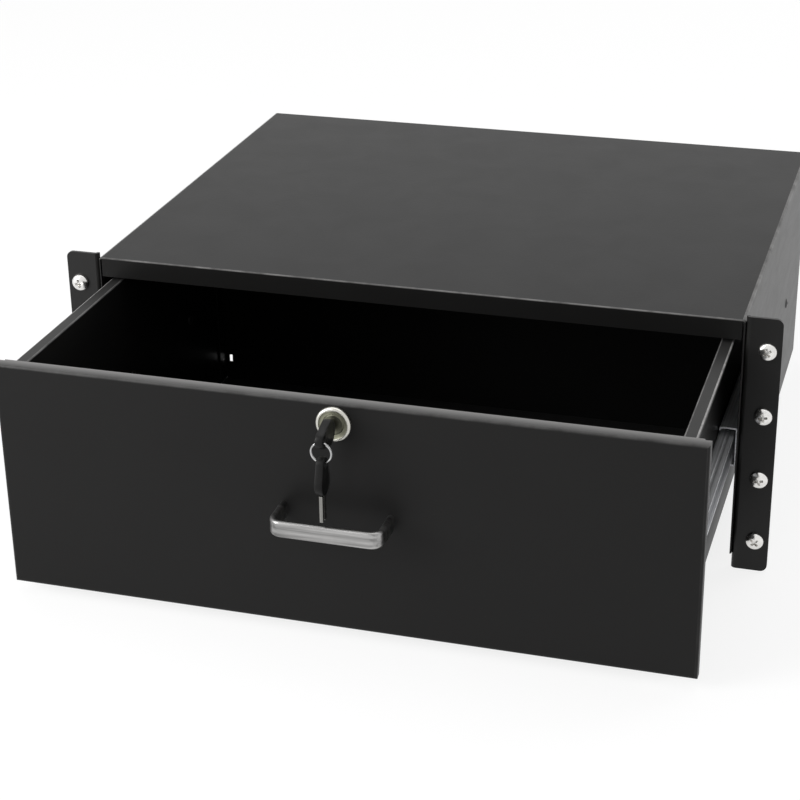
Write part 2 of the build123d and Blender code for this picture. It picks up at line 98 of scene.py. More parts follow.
class Wire:
    # a socket that can stand in a sum
    def __init__(self, maker, socket):
        self.maker, self.socket = maker, socket

    def sum(self, kind, first, second):
        return self.maker.add("ShaderNodeMath", {"operation": kind}, {0: first, 1: second})

    def __add__(self, other):
        return self.sum("ADD", self, other)

    def __mul__(self, other):
        return self.sum("MULTIPLY", self, other)

    def __sub__(self, other):
        return self.sum("SUBTRACT", self, other)

    def __rsub__(self, other):
        return self.sum("SUBTRACT", other, self)

    def __gt__(self, other):
        return self.sum("GREATER_THAN", self, other)

    def __lt__(self, other):
        return self.sum("LESS_THAN", self, other)

    __radd__, __rmul__ = __add__, __mul__

    def clamp(self, low, high, newLow=0.0, newHigh=1.0):
        values = {"Value": self, "From Min": low, "From Max": high, "To Min": newLow, "To Max": newHigh}
        return self.maker.add("ShaderNodeMapRange", {"clamp": True}, values)


class NodeMaker:
    # one way to add any node: its type, its settings, the values or links of its sockets
    def add(self, kind, settings=None, values=None, out=0):
        node = self.tree.nodes.new(kind)
        for key, value in (settings or {}).items():
            setattr(node, key, value)
        for key, value in (values or {}).items():
            if isinstance(value, Wire):
                self.tree.links.new(value.socket, node.inputs[key])
            else:
                node.inputs[key].default_value = value
        return Wire(self, node.outputs[out])


class Finish(NodeMaker):
    def __init__(self, name, **fixed):
        self.material = bpy.data.materials.new(name)
        self.material.use_nodes = True
        self.tree = self.material.node_tree
        self.tree.nodes.clear()
        self.output = self.tree.nodes.new("ShaderNodeOutputMaterial")
        self.shader = self.tree.nodes.new("ShaderNodeBsdfPrincipled")
        self.tree.links.new(self.shader.outputs[0], self.output.inputs[0])
        for key, value in fixed.items():
            self.shader.inputs[key.replace("_", " ")].default_value = value
        self.place = self.add("ShaderNodeTexCoord", out="Object")

    def noise(self, scale, detail=2.0, rough=0.5, stretch=None, distortion=0.0):
        at = self.place
        if stretch:
            at = self.add("ShaderNodeMapping", None, {"Vector": at, "Scale": stretch})
        values = {"Vector": at, "Scale": scale, "Detail": detail, "Roughness": rough,
                  "Distortion": distortion}
        return self.add("ShaderNodeTexNoise", None, values)

    def mix(self, share, first, second):
        return self.add("ShaderNodeMix", {"data_type": "RGBA"}, {0: share, 6: first, 7: second}, 2)

    def split(self, vector):
        node = self.add("ShaderNodeSeparateXYZ", None, {0: vector}).socket.node
        return [Wire(self, socket) for socket in node.outputs]

    def feed(self, **wires):
        for key, wire in wires.items():
            self.tree.links.new(wire.socket, self.shader.inputs[key.replace("_", " ")])
        return self

    def bump(self, height, strength, distance):
        values = {"Height": height, "Strength": strength, "Distance": distance}
        return self.add("ShaderNodeBump", None, values)


def grey(value, warm=0.0):
    return (value * (1 + warm), value, value * (1 - warm), 1.0)


# powder coats: rub is how much lighter folds and cut edges are painted, partly wear and partly a painted
# highlight, upright and inner the shares of it on upright ones and on those that face the middle, top how
# much lighter faces that look up are painted, a painted sheen, and fade what is left of that painted sheen
# at the panel's front
paintSet = {
    "casingPaint": {"tone": 0.008, "roughness": 0.36, "gloss": 0.11, "peel": 0.10, "dust": 0.10,
                    "edgeWearAndSheen": 0.32, "upright": 0.03},
    "earPaint": {"tone": 0.008, "roughness": 0.38, "gloss": 0.25, "peel": 0.10, "dust": 0.06,
                 "edgeWearAndSheen": 0.05, "upright": 0.3, "top": 0.02},
    "trayPaint": {"tone": 0.006, "roughness": 0.40, "gloss": 0.13, "peel": 0.08, "dust": 0.03,
                  "edgeWearAndSheen": 0.80, "upright": 0.03, "inner": 0.3, "top": 0.02},
    # the panel's top share paints its upward return lighter, most at the rear: a painted highlight
    "panelPaint": {"tone": 0.007, "roughness": 0.42, "gloss": 0.155, "peel": 0.10, "dust": 0.05,
                   "edgeWearAndSheen": 0.10, "upright": 0.2, "top": 0.21, "fade": 0.08},
    "fastenerBlack": {"tone": 0.012, "roughness": 0.34, "gloss": 0.45, "peel": 0.05, "dust": 0.03,
                      "edgeWearAndSheen": 0.04},
}
# how fine each pattern of the paint is, in features per metre
paintPattern = {"cloud": 9.0, "wipe": 30.0, "grain": 1500.0, "orange": 420.0, "chafeAndSheen": 65.0,
                "speck": 260.0, "patch": 40.0}
# how much each pattern shows
# chafe and above set how strongly the lighter folds and edges (partly wear, partly painted highlight) and
# the painted sheen on upward faces show
paintShare = {"cloud": 0.06, "wipe": (-0.012, 0.016), "grain": 0.05, "orange": 0.8, "chafeAndSheen": 0.8,
              "speck": 4.0, "dustTone": 0.16, "polish": 0.05, "above": 0.9, "relief": 0.0004}


def makePaint(name, tone, roughness, gloss, peel, dust, edgeWearAndSheen, upright=1.0, inner=1.0, top=0.0, fade=1.0):
    # fine orange peel, faint wiping marks, a few light dust specks, folds and edges painted lighter as
    # wear and as a painted highlight, and, where top is set, upward faces painted lighter as a painted
    # sheen
    finish = Finish(name, Specular_IOR_Level=gloss)
    fine, share = paintPattern, paintShare
    cloud = finish.noise(fine["cloud"], 4.0, 0.6)
    wipe = finish.noise(fine["wipe"], 3.0, 0.55, stretch=(1.0, 1.0, 3.5), distortion=0.6)
    grain = finish.noise(fine["grain"], 2.0, 0.6)
    orange = finish.noise(fine["orange"], 2.0, 0.5)
    # the pattern that breaks up the lighter folds and edges, which are partly wear and partly a painted
    # highlight
    chafeAndSheen = finish.noise(fine["chafeAndSheen"], 4.0, 0.65).clamp(0.32, 0.62, 0.35, 1.0)
    values = {"Vector": finish.place, "Scale": fine["speck"], "Randomness": 1.0}
    speck = finish.add("ShaderNodeTexVoronoi", None, values)
    spot = speck.clamp(0.035, 0.06, 1.0, 0.0) * finish.noise(fine["patch"], 1.0).clamp(0.56, 0.64)
    normal = finish.split(finish.add("ShaderNodeNewGeometry", out="Normal"))
    place = finish.split(finish.place)
    edge = finish.add("ShaderNodeAttribute", {"attribute_name": "edge"}, out="Fac")
    # the painted edge highlight is strongest on folds that face up, and weaker on upright ones and on
    # those that face the middle, where shade falls
    edge = edge * normal[2].clamp(0.05, 0.6, upright, 1.0)
    if inner < 1:
        edge = edge * (normal[0] * place[0]).clamp(-0.02, 0.02, inner, 1.0)
    dark, light = (grey(tone * (1 + change), 0.02) for change in (-share["cloud"], share["cloud"]))
    base = finish.mix(cloud.clamp(0.3, 0.7), dark, light)
    base = finish.mix(spot * dust * share["speck"], base, grey(share["dustTone"]))
    # faces that look up painted lighter: a painted sheen; on the panel it fades out towards the front,
    # leaving a painted highlight along the return's rear
    if top:
        above = normal[2].clamp(0.4, 0.95) * share["above"]
        if fade < 1:
            low, high = corners("front_panel")
            above = above * place[1].clamp(low.y, high.y, fade, 1.0)
        base = finish.mix(above, base, grey(tone + top, 0.015))
    # folds and cut edges painted lighter: partly wear, partly a painted highlight
    base = finish.mix(edge * chafeAndSheen * share["chafeAndSheen"], base, grey(tone + edgeWearAndSheen, 0.015))
    smooth, dull = (roughness + change for change in share["wipe"])
    rough = wipe.clamp(0.35, 0.68, smooth, dull)
    rough = rough + (grain - 0.5) * share["grain"] - edge * share["polish"]
    height = orange * share["orange"] + grain * (1 - share["orange"])
    bump = finish.bump(height, peel, share["relief"])
    return finish.feed(Base_Color=base, Roughness=rough, Normal=bump).material


# plated metals: along is how fine the lines are in each direction, streak how much they darken: brushing
# lines on most, and on the handle a painted reflection of dark surroundings in bands along it
metalSet = {
    "zinc": {"tone": (0.78, 0.79, 0.81), "roughness": 0.40, "along": (700.0, 3.0, 700.0),
             "scratch": 0.05, "fleck": 0.06, "streakAndReflection": 0.5, "metal": 0.72},
    "cageSteel": {"tone": (0.50, 0.50, 0.50), "roughness": 0.33, "along": (500.0, 9.0, 500.0),
                  "scratch": 0.10, "fleck": 0.2, "streakAndReflection": 0.1},
    "ballSteel": {"tone": (0.74, 0.75, 0.77), "roughness": 0.09, "along": (60.0, 60.0, 60.0),
                  "scratch": 0.02, "fleck": 0.05, "streakAndReflection": 0.0},
    "screwNickel": {"tone": (0.83, 0.82, 0.80), "roughness": 0.20, "along": (300.0, 300.0, 300.0),
                    "scratch": 0.05, "fleck": 0.15, "streakAndReflection": 0.1},
    "zincFastener": {"tone": (0.60, 0.59, 0.54), "roughness": 0.32, "along": (260.0, 260.0, 260.0),
                     "scratch": 0.08, "fleck": 0.3, "streakAndReflection": 0.1},
    # the handle's dark bands along its length are a painted reflection of dark surroundings, not brushing
    "handleNickel": {"tone": (0.47, 0.465, 0.46), "roughness": 0.33, "along": (9.0, 210.0, 210.0),
                     "scratch": 0.04, "fleck": 0.03, "streakAndReflection": 0.85},
    "lockNickel": {"tone": (0.62, 0.61, 0.56), "roughness": 0.27, "along": (240.0, 240.0, 240.0),
                   "scratch": 0.04, "fleck": 0.15, "streakAndReflection": 0.15},
    "plugCast": {"tone": (0.16, 0.16, 0.12), "roughness": 0.36, "along": (260.0, 260.0, 260.0),
                 "scratch": 0.06, "fleck": 0.3, "streakAndReflection": 0.1},
    "keyNickel": {"tone": (0.30, 0.295, 0.28), "roughness": 0.22, "along": (600.0, 600.0, 20.0),
                  "scratch": 0.10, "fleck": 0.2, "streakAndReflection": 0.5},
    "ringSteel": {"tone": (0.55, 0.55, 0.55), "roughness": 0.16, "along": (300.0, 300.0, 300.0),
                  "scratch": 0.03, "fleck": 0.1, "streakAndReflection": 0.3},
}
metalPattern = {"cloud": 55.0, "dull": 240.0}  # features per metre
# how dark the cloudy, lined and dull places are against the tone, the lines being grooves on most and a
# painted reflection on the handle, and how deep the lines are
metalShare = {"cloud": 0.88, "line": 0.25, "dull": 0.5, "relief": 0.00005}
dishSet = {"radius": 8.9, "tone": (0.30, 0.30, 0.225), "rougher": 0.18}  # the bezel's dull inner dish


def colour(tone, share=1.0):
    return (*(value * share for value in tone), 1.0)


def makeMetal(name, tone, roughness, along, scratch, fleck, streakAndReflection, metal=1.0):
    # plated steel: lines of the rolling or brushing, cloudy plating, small dull flecks; on the handle the
    # dark lines are a painted reflection in bands along it
    finish = Finish(name, Metallic=metal)
    lines = finish.noise(1.0, 3.0, 0.6, stretch=along)
    cloud = finish.noise(metalPattern["cloud"], 3.0, 0.55)
    dull = finish.noise(metalPattern["dull"], 4.0, 0.7).clamp(0.58, 0.70)
    base = finish.mix(cloud.clamp(0.35, 0.7), colour(tone), colour(tone, metalShare["cloud"]))
    # dark lines: brushing marks on most metals, a painted reflection in bands along the handle
    base = finish.mix(lines.clamp(0.36, 0.60, streakAndReflection, 0.0), base, colour(tone, metalShare["line"]))
    base = finish.mix(dull * fleck, base, colour(tone, metalShare["dull"]))
    rough = cloud.clamp(0.3, 0.7, roughness - 0.02, roughness + 0.02)
    rough = rough + dull * fleck * 0.3 + (lines - 0.5) * scratch
    if name == "lockNickel":
        low, high = corners("lock_body")
        place = finish.split(finish.place)
        across, up = place[0] - (low.x + high.x) / 2, place[2] - (low.z + high.z) / 2
        dish = (across * across + up * up) < (dishSet["radius"] * mm) ** 2
        base = finish.mix(dish, base, colour(dishSet["tone"]))
        rough = rough + dish * dishSet["rougher"]
    bump = finish.bump(lines, scratch, metalShare["relief"])
    return finish.feed(Base_Color=base, Roughness=rough, Normal=bump).material


plasticSet = {"keyPlastic": {"tone": 0.006, "roughness": 0.36, "gloss": 0.16, "grain": 1800.0,
                             "wear": 120.0}}


def makePlastic(name, tone, roughness, gloss, grain, wear):
    # moulded head: spark-eroded grain and worn, shinier places
    finish = Finish(name, Specular_IOR_Level=gloss)
    grain = finish.noise(grain, 2.0, 0.6)
    worn = finish.noise(wear, 3.0, 0.6).clamp(0.4, 0.7)
    base = finish.mix(worn, grey(tone * 0.8), grey(tone * 1.4, 0.03))
    rough = worn.clamp(0.0, 1.0, roughness + 0.07, roughness - 0.06) + (grain - 0.5) * 0.08
    return finish.feed(Base_Color=base, Roughness=rough, Normal=finish.bump(grain, 0.18, 0.0002)).material


looks = {name: makePaint(name, **s) for name, s in paintSet.items()}
looks.update({name: makeMetal(name, **s) for name, s in metalSet.items()})
looks.update({name: makePlastic(name, **s) for name, s in plasticSet.items()})
lookOf = {
    "casing_paint": "casingPaint", "ear_paint": "earPaint", "tray_paint": "trayPaint",
    "panel_paint": "panelPaint", "zinc_steel": "zinc", "cage_steel": "cageSteel",
    "ball_steel": "ballSteel", "screw_nickel": "screwNickel", "black_fastener": "fastenerBlack",
    "zinc_fastener": "zincFastener", "handle_nickel": "handleNickel", "lock_chrome": "lockNickel",
    "key_nickel": "keyNickel", "ring_steel": "ringSteel", "key_plastic": "keyPlastic",
}
for node, item in nodes.items():
    item.data.materials.clear()
    item.data.materials.append(looks[lookOf[slotOf[node]]])
print("materials:", len(looks))


def addPiece(name, mesh, node, look=None):
    # a finished mesh that stands for a CAD node and rides on its body
    piece = bpy.data.objects.new(name, mesh)
    bpy.context.scene.collection.objects.link(piece)
    mesh.materials.clear()
    mesh.materials.append(looks[look or lookOf[slotOf[node]]])
    mesh.polygons.foreach_set("material_index", [0] * len(mesh.polygons))
    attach(piece, bodyOf[node])
    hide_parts(node)
    return piece


def evaluated(item):
    # the object's mesh with its modifiers applied; the object and its modifiers go
    graph = bpy.context.evaluated_depsgraph_get()
    mesh = bpy.data.meshes.new_from_object(item.evaluated_get(graph))
    bpy.data.objects.remove(item)
    return mesh


def workItem(mesh, name="work"):
    item = bpy.data.objects.new(name, mesh)
    bpy.context.scene.collection.objects.link(item)
    return item


def bevelled(mesh, width, angle=32):
    # rounded edges; the faces that the rounding makes get the second material's number
    item = workItem(mesh)
    bevel = item.modifiers.new("edges", "BEVEL")
    bevel.width, bevel.segments = width * mm, 2
    bevel.limit_method, bevel.angle_limit = "ANGLE", math.radians(angle)
    bevel.material = 1
    flat = item.modifiers.new("flat", "WEIGHTED_NORMAL")
    flat.weight = 100
    return evaluated(item)


def cutOut(mesh, cutter):
    item, tool = workItem(mesh), workItem(cutter, "tool")
    boolean = item.modifiers.new("cut", "BOOLEAN")
    boolean.object, boolean.operation, boolean.solver = tool, "DIFFERENCE", "EXACT"
    result = evaluated(item)
    bpy.data.objects.remove(tool)
    return result


# faces narrower than this, in millimetres, are folds or cut edges of the sheet, and get this mark
foldSet = {"narrow": 1.35, "mark": 0.6}


def markEdges(mesh):
    # face attribute that tells the paint where folds and cut edges are; faces in one plane count as one
    planes = {}
    for face in mesh.polygons:
        points = [mesh.vertices[index].co for index in face.vertices]
        around = sum((a - b).length for a, b in zip(points, points[1:] + points[:1]))
        key = (*(round(value, 2) for value in face.normal), round(face.center.dot(face.normal) / mm, 2))
        area, length, members = planes.get(key, (0.0, 0.0, []))
        planes[key] = (area + face.area, length + around, members + [face.index])
    values = [1.0 if face.material_index == 1 else 0.0 for face in mesh.polygons]
    for area, length, members in planes.values():
        if 2 * area / length < foldSet["narrow"] * mm:
            for index in members:
                values[index] = max(values[index], foldSet["mark"])
    mark = mesh.attributes.new("edge", "FLOAT", "FACE")
    mark.data.foreach_set("value", values)
    return mesh


softEdges = {
    "casing_shell": {"name": "casingShell", "width": 0.22},
    "ear_bracket_left": {"name": "earLeft", "width": 0.3},
    "ear_bracket_right": {"name": "earRight", "width": 0.3},
    "front_panel": {"name": "frontPanel", "width": 0.25},
    "drawer_tray": {"name": "drawerTray", "width": 0.2},
    "drawer_back": {"name": "drawerBack", "width": 0.2},
    "slide_outer_member_left": {"name": "outerMemberLeft", "width": 0.15},
    "slide_outer_member_right": {"name": "outerMemberRight", "width": 0.15},
    "slide_inner_member_left": {"name": "innerMemberLeft", "width": 0.15},
    "slide_inner_member_right": {"name": "innerMemberRight", "width": 0.15},
    "ball_cage_left": {"name": "ballCageLeft", "width": 0.08},
    "ball_cage_right": {"name": "ballCageRight", "width": 0.08},
    "lock_plug": {"name": "lockPlug", "width": 0.15, "look": "plugCast"},
    "lock_cam": {"name": "lockCam", "width": 0.2},
}

# points of a CAD mesh that are nearer than this, in millimetres, are one, and so are its faces that lie
# flatter than this, in degrees
mergeSet = {"near": 0.002, "flat": 0.6}
sharpAngle = 35  # edges of the pieces made here that stay sharp, in degrees


def merged(node):
    # a copy of a CAD node's mesh with its doubles merged and its flat faces whole
    mesh = nodes[node].data.copy()
    work = bmesh.new()
    work.from_mesh(mesh)
    bmesh.ops.remove_doubles(work, verts=work.verts, dist=mergeSet["near"] * mm)
    flat = math.radians(mergeSet["flat"])
    bmesh.ops.dissolve_limit(work, angle_limit=flat, verts=work.verts, edges=work.edges)
    bmesh.ops.recalc_face_normals(work, faces=work.faces)
    work.to_mesh(mesh)
    work.free()
    mesh.materials.append(mesh.materials[0])
    mesh.shade_smooth()
    return mesh


def tidyMesh(mesh, sharp=40, near=0.001):
    # doubles merged, faces outwards, edges of more than sharp degrees kept
    work = bmesh.new()
    work.from_mesh(mesh)
    bmesh.ops.remove_doubles(work, verts=work.verts, dist=near * mm)
    bmesh.ops.recalc_face_normals(work, faces=work.faces)
    work.to_mesh(mesh)
    work.free()
    mesh.shade_smooth()
    mesh.set_sharp_from_angle(angle=math.radians(sharp))
    return mesh


def fromFaces(name, points, faces, turn=None):
    # a mesh from points in millimetres, closed and facing outwards
    mesh = bpy.data.meshes.new(name)
    mesh.from_pydata([Vector(point) * mm for point in points], [], faces)
    if turn:
        mesh.transform(turn)
    return tidyMesh(mesh, sharpAngle, 0.0005)


def joined(loops):
    # points and faces of equal loops, each joined to the next and the last to the first
    around = len(loops[0])
    points = [point for loop in loops for point in loop]
    faces = []
    for row in range(len(loops)):
        for index in range(around):
            a, b = row * around + index, row * around + (index + 1) % around
            faces.append((a, b, (b + around) % len(points), (a + around) % len(points)))
    return points, faces


def lathe(name, rows, segments=48, closed=False, turn=None, thread=None):
    # turn rows of (radius, height) about Z; a thread cuts a helix between two heights
    points, faces = [], []
    for radius, height in rows:
        for index in range(segments):
            angle = 2 * math.pi * index / segments
            reach = radius
            if thread and thread["low"] < height < thread["high"] and radius > 0:
                phase = (height / thread["pitch"] - index / segments) % 1.0
                fade = min(1.0, (height - thread["low"]) / thread["pitch"],
                           (thread["high"] - height) / thread["pitch"])
                reach -= thread["depth"] * fade * (1 - abs(2 * phase - 1))
            points.append((reach * math.cos(angle), reach * math.sin(angle), height))
    count = len(rows)
    for row in range(count if closed else count - 1):
        for index in range(segments):
            a, b = row * segments + index, row * segments + (index + 1) % segments
            c, d = (b + segments) % len(points), (a + segments) % len(points)
            if rows[row][0] == 0:
                faces.append((row * segments, c, d))
            elif rows[(row + 1) % count][0] == 0:
                faces.append((a, b, (row + 1) * segments))
            else:
                faces.append((a, b, c, d))
    used = sorted({index for face in faces for index in face})
    number = {old: new for new, old in enumerate(used)}
    faces = [tuple(number[index] for index in face) for face in faces]
    return fromFaces(name, [points[index] for index in used], faces, turn)


def dome(radius, height, power, steps=10):
    # rows of a rounded head from its centre to its rim
    rows = []
    for step in range(steps + 1):
        angle = math.pi / 2 * step / steps
        rows.append((radius * math.sin(angle) ** (2 / power), height * math.cos(angle) ** (2 / power)))
    return [(0 if step == 0 else row[0], max(row[1], 0.0)) for step, row in enumerate(rows)]


# raceways: round grooves that the balls run in, along both lips of every slide member; ball is the
# ball's radius, and over how far the cutter runs past the member
raceSet = {"ball": 2.0, "deep": 0.42, "over": 1.0}


def raceways(mesh, node, s):
    low, high = corners(node)
    ballLow, ballHigh = corners("balls_" + node.split("_")[-1])
    radius = s["ball"] + s["deep"]
    start, end = -high.y / mm - s["over"], -low.y / mm + s["over"]
    for height in (ballLow.z + s["ball"] * mm, ballHigh.z - s["ball"] * mm):
        turn = Matrix.Translation(((ballLow.x + ballHigh.x) / 2, 0, height)) @ toFront
        rows = [(0, start), (radius, start), (radius, end), (0, end)]
        mesh = cutOut(mesh, lathe("race", rows, 64, turn=turn))
    mesh.shade_smooth()
    return mesh


for node, s in softEdges.items():
    mesh = merged(node)
    if "member" in node:
        mesh = raceways(mesh, node, raceSet)
    addPiece(s["name"], markEdges(bevelled(mesh, s["width"])), node, s.get("look"))
print("softened:", len(softEdges))


def threadRows(radius, start, end, pitch):
    steps = max(2, int((start - end) / pitch * 6))
    return [(radius, start + (end - start) * step / steps) for step in range(steps + 1)]


def crossCutter(width, length, top, depth, narrow=0.55):
    # tapered cross with four equal arms
    w, l = width / 2, length / 2
    outline = [(l, -w), (l, w), (w, w), (w, l), (-w, l), (-w, w),
               (-l, w), (-l, -w), (-w, -w), (-w, -l), (w, -l), (w, -w)]
    points = [(x, y, top + 0.3) for x, y in outline]
    points += [(x * narrow, y * narrow, top - depth) for x, y in outline]
    faces = [tuple(range(12)), tuple(range(23, 11, -1))]
    faces += [(i, (i + 1) % 12, 12 + (i + 1) % 12, 12 + i) for i in range(12)]
    return fromFaces("cutter", points, faces)


def panScrew(s):
    # domed head with a cross recess, a plain neck and a rolled thread
    rows = dome(s["head"], s["high"], 2.7) + [(s["head"] - 0.15, -0.0), (s["neck"], -0.0)]
    rows += [(s["neck"], -s["plain"] + 0.2)]
    rows += threadRows(s["shank"], -s["plain"], 0.5 - s["length"], s["pitch"])
    rows += [(s["shank"] - 0.5, -s["length"]), (0, -s["length"])]
    thread = {"low": -s["length"] + 0.3, "high": -s["plain"], "pitch": s["pitch"],
              "depth": s["pitch"] * 0.5}
    screw = lathe("screw", rows, 32, thread=thread)
    screw = cutOut(screw, crossCutter(s["slotWide"], s["slotLong"], s["high"], s["slotDeep"]))
    screw.set_sharp_from_angle(angle=math.radians(sharpAngle))
    return screw


def rivet(s):
    # low head with the dimple that the mandrel leaves, its shank flush at the far side
    rows = [(0, s["high"] * 0.7), (s["shank"] * 0.6, s["high"] * 0.72),
            (s["shank"] * 0.75, s["high"] * 0.95)]
    rows += [row for row in dome(s["head"], s["high"], 2.2) if row[0] > s["shank"] * 0.8]
    rows += [(s["head"] - 0.05, 0.0), (s["shank"], 0.0), (s["shank"], -s["length"]), (0, -s["length"])]
    return lathe("rivet", rows, 32)


def hexNut(s):
    # hexagon with both faces turned down at the corners and a countersunk bore
    half, thick, bore = s["across"] / 2, s["high"], s["bore"]
    around = 72
    loops = [[] for step in range(8)]
    for index in range(around):
        angle = 2 * math.pi * index / around
        hexagon = half / math.cos((angle + math.pi / 6) % (math.pi / 3) - math.pi / 6)
        cone = half * 0.97
        drop = max(0.0, hexagon - cone) * 0.55
        ring = [(bore, 0.4), (bore + 0.4, 0.0), (cone, 0.0), (hexagon, drop),
                (hexagon, thick - drop), (cone, thick), (bore + 0.4, thick), (bore, thick - 0.4)]
        for loop, (radius, height) in zip(loops, ring):
            loop.append((radius * math.cos(angle), radius * math.sin(angle), height))
    return fromFaces("nut", *joined(loops))


def stud(s):
    # weld stud with a rolled thread and a chamfered end
    rows = [(0, 0.0), (s["shank"], 0.0)] + threadRows(s["shank"], 0.3, s["high"] - 0.5, s["pitch"])
    rows += [(s["shank"] - 0.5, s["high"]), (0, s["high"])]
    thread = {"low": 0.3, "high": s["high"] - 0.3, "pitch": s["pitch"], "depth": s["pitch"] * 0.45}
    return lathe("stud", rows, 24, thread=thread)


def ball(s):
    mesh = bpy.data.meshes.new("ball")
    work = bmesh.new()
    bmesh.ops.create_icosphere(work, subdivisions=3, radius=s["high"] * mm)
    work.to_mesh(mesh)
    work.free()
    mesh.shade_smooth()
    return mesh


class Recipe(NodeMaker):
    # a Geometry Nodes tree with named inputs
    kinds = {"size": "NodeSocketFloat", "count": "NodeSocketInt", "piece": "NodeSocketObject",
             "finish": "NodeSocketMaterial", "vector": "NodeSocketVector"}

    def __init__(self, name, **inputs):
        self.tree = bpy.data.node_groups.new(name, "GeometryNodeTree")
        self.tree.interface.new_socket("shape", in_out="INPUT", socket_type="NodeSocketGeometry")
        self.tree.interface.new_socket("shape", in_out="OUTPUT", socket_type="NodeSocketGeometry")
        for key, kind in inputs.items():
            self.tree.interface.new_socket(key, in_out="INPUT", socket_type=self.kinds[kind])
        node = self.tree.nodes.new("NodeGroupInput")
        self.given = {socket.name: Wire(self, socket) for socket in node.outputs if socket.name}

    def end(self, shape):
        real = self.add("GeometryNodeRealizeInstances", None, {"Geometry": shape})
        values = {"Geometry": real, "Material": self.given["finish"]}
        done = self.add("GeometryNodeSetMaterial", None, values)
        output = self.tree.nodes.new("NodeGroupOutput")
        self.tree.links.new(done.socket, output.inputs[0])

    def grow(self, base, **values):
        item = workItem(base)
        modifier = item.modifiers.new("recipe", "NODES")
        modifier.node_group = self.tree
        for socket in self.tree.interface.items_tree:
            if socket.in_out == "INPUT" and socket.name in values:
                modifier[socket.identifier] = values[socket.name]
        return evaluated(item)


def makeScatter():
    # one piece at each point, aimed along the point's own direction and turned by chance
    recipe = Recipe("scatter", piece="piece", spin="size", seed="count", finish="finish")
    given = recipe.given
    aim = recipe.add("GeometryNodeInputNamedAttribute", {"data_type": "FLOAT_VECTOR"}, {"Name": "aim"})
    aimed = recipe.add("FunctionNodeAlignRotationToVector", {"axis": "Z"}, {"Vector": aim})
    chance = {2: 0.0, 3: given["spin"], "Seed": given["seed"]}
    turn = recipe.add("FunctionNodeRandomValue", {"data_type": "FLOAT"}, chance, 1)
    about = recipe.add("FunctionNodeAxisAngleToRotation", None, {"Axis": (0, 0, 1), "Angle": turn})
    rotation = recipe.add("FunctionNodeRotateRotation", {"rotation_space": "LOCAL"}, {0: aimed, 1: about})
    shape = recipe.add("GeometryNodeObjectInfo", None, {"Object": given["piece"]}, "Geometry")
    values = {"Points": given["shape"], "Instance": shape, "Rotation": rotation}
    recipe.end(recipe.add("GeometryNodeInstanceOnPoints", None, values))
    return recipe


def solidBoxes(node):
    # the box of each separate solid in a CAD node
    work = bmesh.new()
    work.from_mesh(nodes[node].data)
    bmesh.ops.remove_doubles(work, verts=work.verts, dist=mergeSet["near"] * mm)
    boxes, seen = [], set()
    for start in work.verts:
        if start in seen:
            continue
        group, queue = [], [start]
        seen.add(start)
        while queue:
            vert = queue.pop()
            group.append(vert.co.copy())
            for edge in vert.link_edges:
                other = edge.other_vert(vert)
                if other not in seen:
                    seen.add(other)
                    queue.append(other)
        boxes.append([Vector(pick(point[axis] for point in group) for axis in range(3))
                      for pick in (min, max)])
    work.free()
    return boxes


# what repeats: each is modelled along Z from its seat, high is how far it stands above the seat
fastenerSet = {
    "rackScrews": {"node": "rack_screws", "make": panScrew, "aim": "front", "spin": 1.2, "seed": 4,
                   "head": 6.0, "high": 3.6, "neck": 2.5, "plain": 2.0, "shank": 3.0, "length": 16.0,
                   "pitch": 1.0, "slotWide": 1.7, "slotLong": 6.6, "slotDeep": 2.1},
    "bracketScrews": {"node": "bracket_screws", "make": panScrew, "aim": "outward", "spin": 6.0, "seed": 7,
                      "head": 3.8, "high": 2.2, "neck": 2.0, "plain": 2.0, "shank": 2.0, "length": 3.2,
                      "pitch": 0.7, "slotWide": 1.1, "slotLong": 4.2, "slotDeep": 1.4},
    "handleScrews": {"node": "handle_screws", "make": panScrew, "aim": "rear", "spin": 6.0, "seed": 3,
                     "head": 3.0, "high": 2.0, "neck": 1.5, "plain": 1.5, "shank": 1.5, "length": 9.0,
                     "pitch": 0.5, "slotWide": 0.9, "slotLong": 3.2, "slotDeep": 1.2},
    "camScrew": {"node": "cam_screw", "make": panScrew, "aim": "rear", "spin": 6.0, "seed": 9,
                 "head": 4.5, "high": 2.2, "neck": 2.0, "plain": 1.0, "shank": 2.0, "length": 4.0,
                 "pitch": 0.7, "slotWide": 1.2, "slotLong": 4.6, "slotDeep": 1.4},
    "outerMemberRivets": {"node": "outer_member_rivets", "make": rivet, "aim": "outward",
                          "head": 3.7, "high": 1.2, "shank": 2.0, "length": 2.4},
    "innerMemberRivets": {"node": "inner_member_rivets", "make": rivet, "aim": "inward",
                          "head": 3.7, "high": 1.2, "shank": 2.0, "length": 2.4},
    "backRivets": {"node": "back_rivets", "make": rivet, "aim": "outward",
                   "head": 3.7, "high": 1.2, "shank": 2.0, "length": 2.4},
    "panelStuds": {"node": "panel_studs", "make": stud, "aim": "rear",
                   "high": 9.0, "shank": 2.0, "pitch": 0.7},
    "panelNuts": {"node": "panel_nuts", "make": hexNut, "aim": "rear",
                  "high": 3.2, "across": 7.0, "bore": 2.0},
    "lockNut": {"node": "lock_nut", "make": hexNut, "aim": "rear",
                "high": 2.6, "across": 22.0, "bore": 9.3},
    "ballsLeft": {"node": "balls_left", "make": ball, "aim": "rear", "high": 2.0},
    "ballsRight": {"node": "balls_right", "make": ball, "aim": "rear", "high": 2.0},
}


def direction(aim, x):
    side = math.copysign(1, x)
    return {"front": (0, -1, 0), "rear": (0, 1, 0), "outward": (side, 0, 0), "inward": (-side, 0, 0)}[aim]


